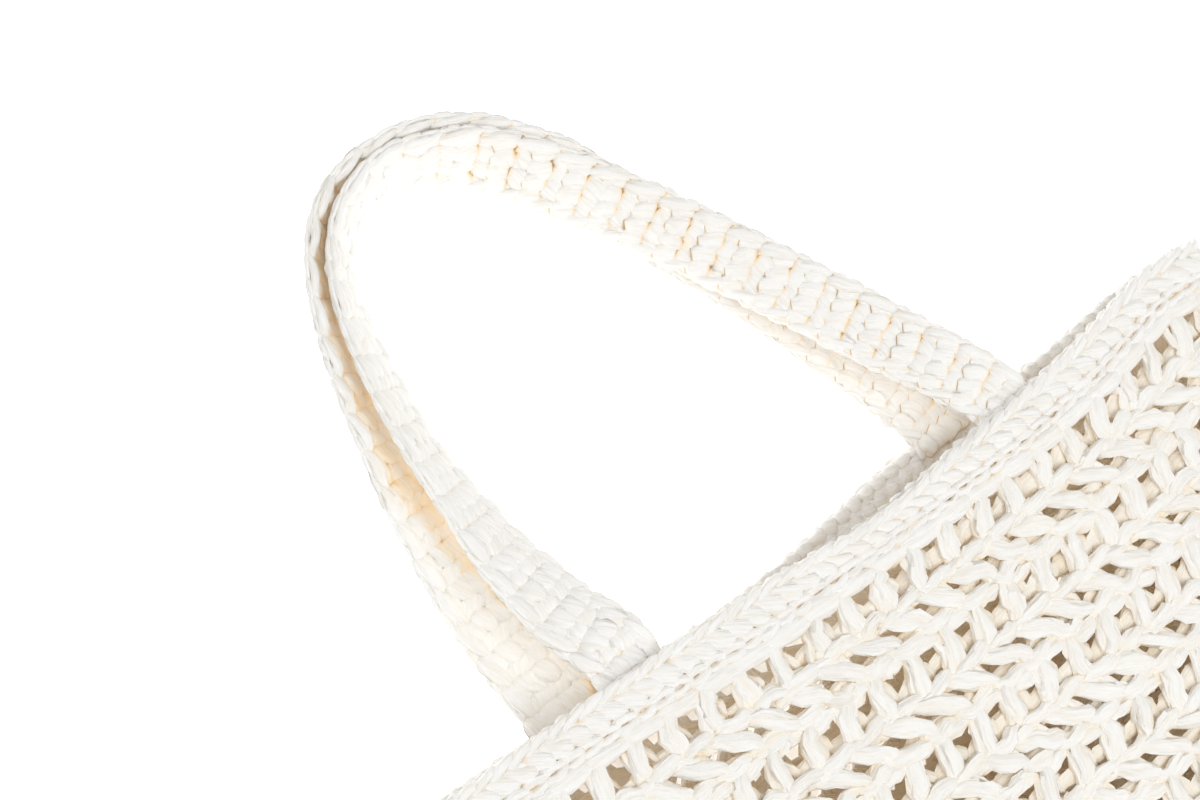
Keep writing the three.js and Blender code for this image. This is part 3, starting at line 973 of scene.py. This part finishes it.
def handleFamilies(path, flare, faceLight):
    families = []
    track = strapTrack(path)
    total = track[0][-1]
    ribs = round(total / strap["ribPitch"])
    pitch = total / ribs

    def lay(shape, starts, look, light, flip=1, groove=0.0, within=strap["loopsWithin"]):
        rings, sides, knots = shape
        square, least = look
        drawn = drawStrands(knots, starts, rings, strap["spread"], strap["blunt"], least)
        room = np.maximum(within - np.abs(drawn[..., 1]), strap["leastWide"])
        drawn[..., 3] = np.minimum(drawn[..., 3], room)
        thin = 1 - strap["edgeThin"] * ramp(np.abs(drawn[..., 1]), *strap["edgeFrom"])
        drawn[..., 2] *= thin * (1.0 if flip > 0 else strap["underHeight"])
        drawn[..., 4] *= thin
        along = np.clip(drawn[..., 0], 0, total)
        spread = 1 + flare * ramp(strap["flareEnd"] - along, 0, strap["flareFade"])
        drawn[..., 3] *= spread
        centres, face = strapStrand(track, along, drawn[..., 1] * spread, drawn[..., 2] * flip)
        angle = 2 * math.pi * np.arange(sides) / sides
        heading = np.sign(drawn[:, -1:, 0] - drawn[:, :1, 0])[..., None]
        reach = drawn[..., 3:4] * boxy(np.cos(angle), square)
        # Painted light and shade: lift raises a vertex out of the painted shade, shade pulls it to the
        # warm painted shade height
        lift, shade = light(centres[:, :, None], drawn[..., 1:2] - flip * heading * reach)
        height = (drawn[..., 2] / thin)[..., None] * (1 - shade) + strap["shade"] * shade + lift
        # Painted shade: dark lines at the ends of the stitches, weaker on the left
        line = ramp(centres[..., :1], *strap["grooveFrom"])
        line = strap["grooveLeft"] + (1 - strap["grooveLeft"]) * line
        for ring, share in strap["grooveRings"]:
            height[:, ring] -= groove * share * line[:, ring]
        families.append(yarn(centres, face * flip, drawn[..., 3], drawn[..., 4], height, sides, square,
                             strap["fold"], relief=strap["relief"]))

    step = strap["columnsWide"] / strap["columns"]
    legStarts = []
    for rib in range(ribs):
        for column in range(strap["columns"]):
            legStarts.append(((rib + 0.5) * pitch, strap["firstColumn"] + column * step))
    for shape in strapStitches.values():
        under = (shape[0] - 2, strap["underSides"], shape[2])
        lay(shape, legStarts, strap["stitchLook"], faceLight, 1, strap["groove"], strap["within"])
        lay(under, legStarts, strap["underLook"], faceLight, -1, 0.0, strap["within"])
    edgeStarts = [((rib + 0.5) * pitch, 0.0) for rib in range(ribs)]
    for shape in strapEdges.values():
        lay(shape, edgeStarts, strap["loopLook"], edgeLight)
    rimStarts = [((half + 0.5) * pitch / 2, 0.0) for half in range(2 * ribs)]
    for shape in strapRims.values():
        lay(shape, rimStarts, strap["loopLook"], edgeLight)
    along = np.linspace(strap["coreEnd"], total - strap["coreEnd"], 4 * ribs)[None]
    zero = np.zeros_like(along)
    wide, thick = strap["core"]
    centres, face = strapStrand(track, along, zero, zero)
    # Painted shade on the paper core between the stitches, deeper to the right
    shadeHeight = strap["coreShade"] - ramp(centres[..., 0], *strap["coreShadeStretch"])
    families.append(yarn(centres, face, zero + wide, zero + thick, shadeHeight, **coreYarn, relief=0.0))
    return families


handles = {  # path, share by which the first foot is wider, painted light and shade on the face
    "front_handle": (frontPath, 0.06, frontFace),
    "back_handle": (backPath, 0.17, backFace),
}


def makeHandles():
    made = 0
    for node, settings in handles.items():
        families = handleFamilies(*settings)
        made += makePiece(node + "_stitches", families, strapFinish, node,
                          strap["shadeHeights"])
    return made


# Base: rows of close stitches across the narrow panel, over a thin core
base = {
    "halfWidth": 184.0,
    "middle": 297.0,  # drop of the middle of its thickness
    "rows": 5,
    "rowPitch": 6.4,
    "stitchPitch": 7.2,
    "inset": 2.0,
    "rowInset": 3.0,
    "rings": 6,
    "sides": 6,
    "spread": (0.2, 0.2, 0.1),
    "coreEnd": 4.0,
    "coreLeast": 2.0,
    "coreThick": 1.4,
    "coreShade": 1.2,
    "coreSteps": 80,
    "coreSides": 12,
    "shadeHeights": (-0.6, 2.0),
}
baseKnots = [
    (-3.6, -1.2, 0.6, 1.4, 1.0),
    (-1.2, -0.6, 1.8, 2.6, 1.5),
    (1.6, 0.4, 1.8, 2.6, 1.5),
    (4.0, 1.2, 0.6, 1.4, 1.0),
]


def baseStrand(x, z, height):
    centre = np.stack([x, bagLift - base["middle"] - height, z], -1)
    outward = np.zeros_like(centre) + np.array([0.0, -1.0, 0.0])
    return centre, outward


def makeBase():
    families = []
    middle = bag["depth"] / 2
    radius = middle - base["inset"]
    starts = []
    for row in range(base["rows"]):
        z = middle + (row - (base["rows"] - 1) / 2) * base["rowPitch"]
        bulge = math.sqrt(max(0, radius ** 2 - (z - middle) ** 2))
        reach = base["halfWidth"] - middle + bulge - base["rowInset"]
        count = round(2 * reach / base["stitchPitch"])
        starts += [(-reach + (i + 0.5) * 2 * reach / count, z) for i in range(count)]
    for flip in (1, -1):  # outside, then inside
        drawn = drawStrands(baseKnots, starts, base["rings"], base["spread"])
        centres, outward = baseStrand(drawn[..., 0], drawn[..., 1], drawn[..., 2] * flip)
        families.append(yarn(centres, outward * flip, drawn[..., 3], drawn[..., 4], drawn[..., 2],
                             base["sides"]))
    end = base["halfWidth"] - base["coreEnd"]
    x = np.linspace(-end, end, base["coreSteps"])[None]
    zero = np.zeros_like(x)
    past = np.maximum(0, np.abs(x) - base["halfWidth"] + middle)
    reach = np.sqrt(np.maximum(base["coreLeast"] ** 2, radius ** 2 - past ** 2))
    centres, outward = baseStrand(x, zero + middle, zero)
    families.append(yarn(centres, outward, reach, zero + base["coreThick"], zero + base["coreShade"],
                         base["coreSides"], square=2.0, fold=0.0))
    return makePiece("base_stitches", families, denseFinish, "base_panel",
                     base["shadeHeights"])


total = makeHandles()
total += makeRim()
total += makeNet()
total += makeBase()
print(f"{total} triangles in all")


# Pale floor and soft studio light
studio = {
    "floorHalf": 4.0,
    "floor": (0.94, 0.94, 0.94),
    "floorRough": 0.9,
    "floorGloss": 0.1,
    "paintedGlow": 1.0,  # painted light: the floor glows so that the bag's shadows on it wash out, and glows less under the bag's body, where the holes show shade
    "glowUnder": 0.36,
    "bodyBelow": 0.10,  # from the part's middle down to the body's
    "bodyReach": ((0.17, 0.23), (0.134, 0.146)),  # across and along, where the floor's painted glow starts and is full
    "sky": 0.6,
    "bounces": 12,  # light between the pale strands
    "lamps": [
        ("keyLamp", (0.35, -0.7, 1.75), 1.3, 14.0),
        ("fillLamp", (-1.2, 0.28, 1.65), 1.7, 8.8),
    ],
}


def makeFloor():
    half = studio["floorHalf"]
    mesh = bpy.data.meshes.new("studioFloor")
    corners = [(-half, -half, 0), (half, -half, 0), (half, half, 0), (-half, half, 0)]
    mesh.from_pydata(corners, [], [(0, 1, 2, 3)])
    floor = bpy.data.objects.new("studioFloor", mesh)
    bpy.context.scene.collection.objects.link(floor)
    finish = bpy.data.materials.new("palePaper")
    finish.use_nodes = True
    tree = finish.node_tree
    shader = tree.nodes["Principled BSDF"]
    shader.inputs["Base Color"].default_value = (*studio["floor"], 1)
    shader.inputs["Roughness"].default_value = studio["floorRough"]
    shader.inputs["Specular IOR Level"].default_value = studio["floorGloss"]
    # Painted light: the floor glows, weaker under the bag's body
    shader.inputs["Emission Color"].default_value = (1, 1, 1, 1)
    where = addNode(tree, "ShaderNodeTexCoord")
    split = addNode(tree, "ShaderNodeSeparateXYZ")
    link(tree, where.outputs["Object"], split.inputs["Vector"])
    middle = addNode(tree, "ShaderNodeMath", operation="ADD")
    middle.inputs[1].default_value = studio["bodyBelow"]
    link(tree, split.outputs["Y"], middle.inputs[0])
    outside = addNode(tree, "ShaderNodeMath", operation="MAXIMUM")
    sources = (split.outputs["X"], middle.outputs["Value"])
    for number, source in enumerate(sources):
        size = addNode(tree, "ShaderNodeMath", operation="ABSOLUTE")
        link(tree, source, size.inputs[0])
        edge = mapRange(tree, size.outputs["Value"], *studio["bodyReach"][number],
                        studio["glowUnder"], studio["paintedGlow"], "SMOOTHSTEP")
        link(tree, edge, outside.inputs[number])
    link(tree, outside.outputs["Value"], shader.inputs["Emission Strength"])
    mesh.materials.append(finish)


def makeStudio():
    makeFloor()
    sky = bpy.data.worlds.new("studioSky")
    sky.use_nodes = True
    backdrop = sky.node_tree.nodes["Background"]
    backdrop.inputs["Color"].default_value = (1, 1, 1, 1)
    backdrop.inputs["Strength"].default_value = studio["sky"]
    bpy.context.scene.world = sky
    for name, place, size, power in studio["lamps"]:
        data = bpy.data.lights.new(name, "AREA")
        data.size = size
        data.energy = power
        lamp = bpy.data.objects.new(name, data)
        lamp.location = place
        lamp.rotation_euler = (-Vector(place)).to_track_quat("-Z", "Y").to_euler()
        bpy.context.scene.collection.objects.link(lamp)
    bpy.context.scene.cycles.max_bounces = studio["bounces"] + 4
    bpy.context.scene.cycles.diffuse_bounces = studio["bounces"]
    view = bpy.context.scene.view_settings
    view.view_transform = "Standard"
    view.look = "None"


makeStudio()
print("studio lit")
